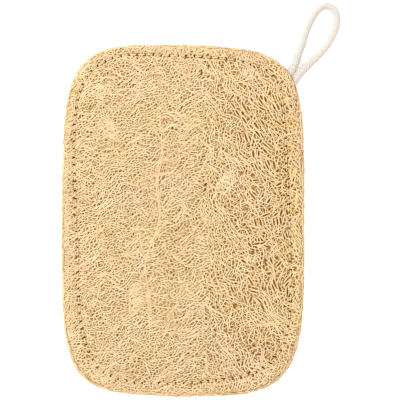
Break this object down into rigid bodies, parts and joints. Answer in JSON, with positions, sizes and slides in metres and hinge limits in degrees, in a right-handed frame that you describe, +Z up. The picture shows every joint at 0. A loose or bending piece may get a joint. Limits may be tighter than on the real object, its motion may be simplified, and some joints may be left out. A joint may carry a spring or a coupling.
{
  "type": "natural loofah sponge",
  "caption": "Flat sewn scrub pad of dried loofah net with rounded corners, a row of stitches round the rim and a cotton hanging loop at one corner",
  "frame": {"origin": "centre of the pad in plan, on the surface that it lies on, without the cord loop", "axes": "+Y along the pad's length towards the end with the loop, +X across it with the loop on the +X side, +Z up out of the front face"},
  "size_m": [0.1187, 0.1678, 0.0074],
  "materials": {
    "loofah_front": "matte fibrous, dried straw yellow",
    "loofah_back": "matte fibrous, dried straw yellow",
    "thread": "matte twisted cotton",
    "cord": "matte unbleached cotton"
  },
  "bodies": {
    "root": {"front_layer": "loofah_front", "back_layer": "loofah_back", "seam_thread": "thread", "hang_loop": "cord"}
  },
  "joints": []
}
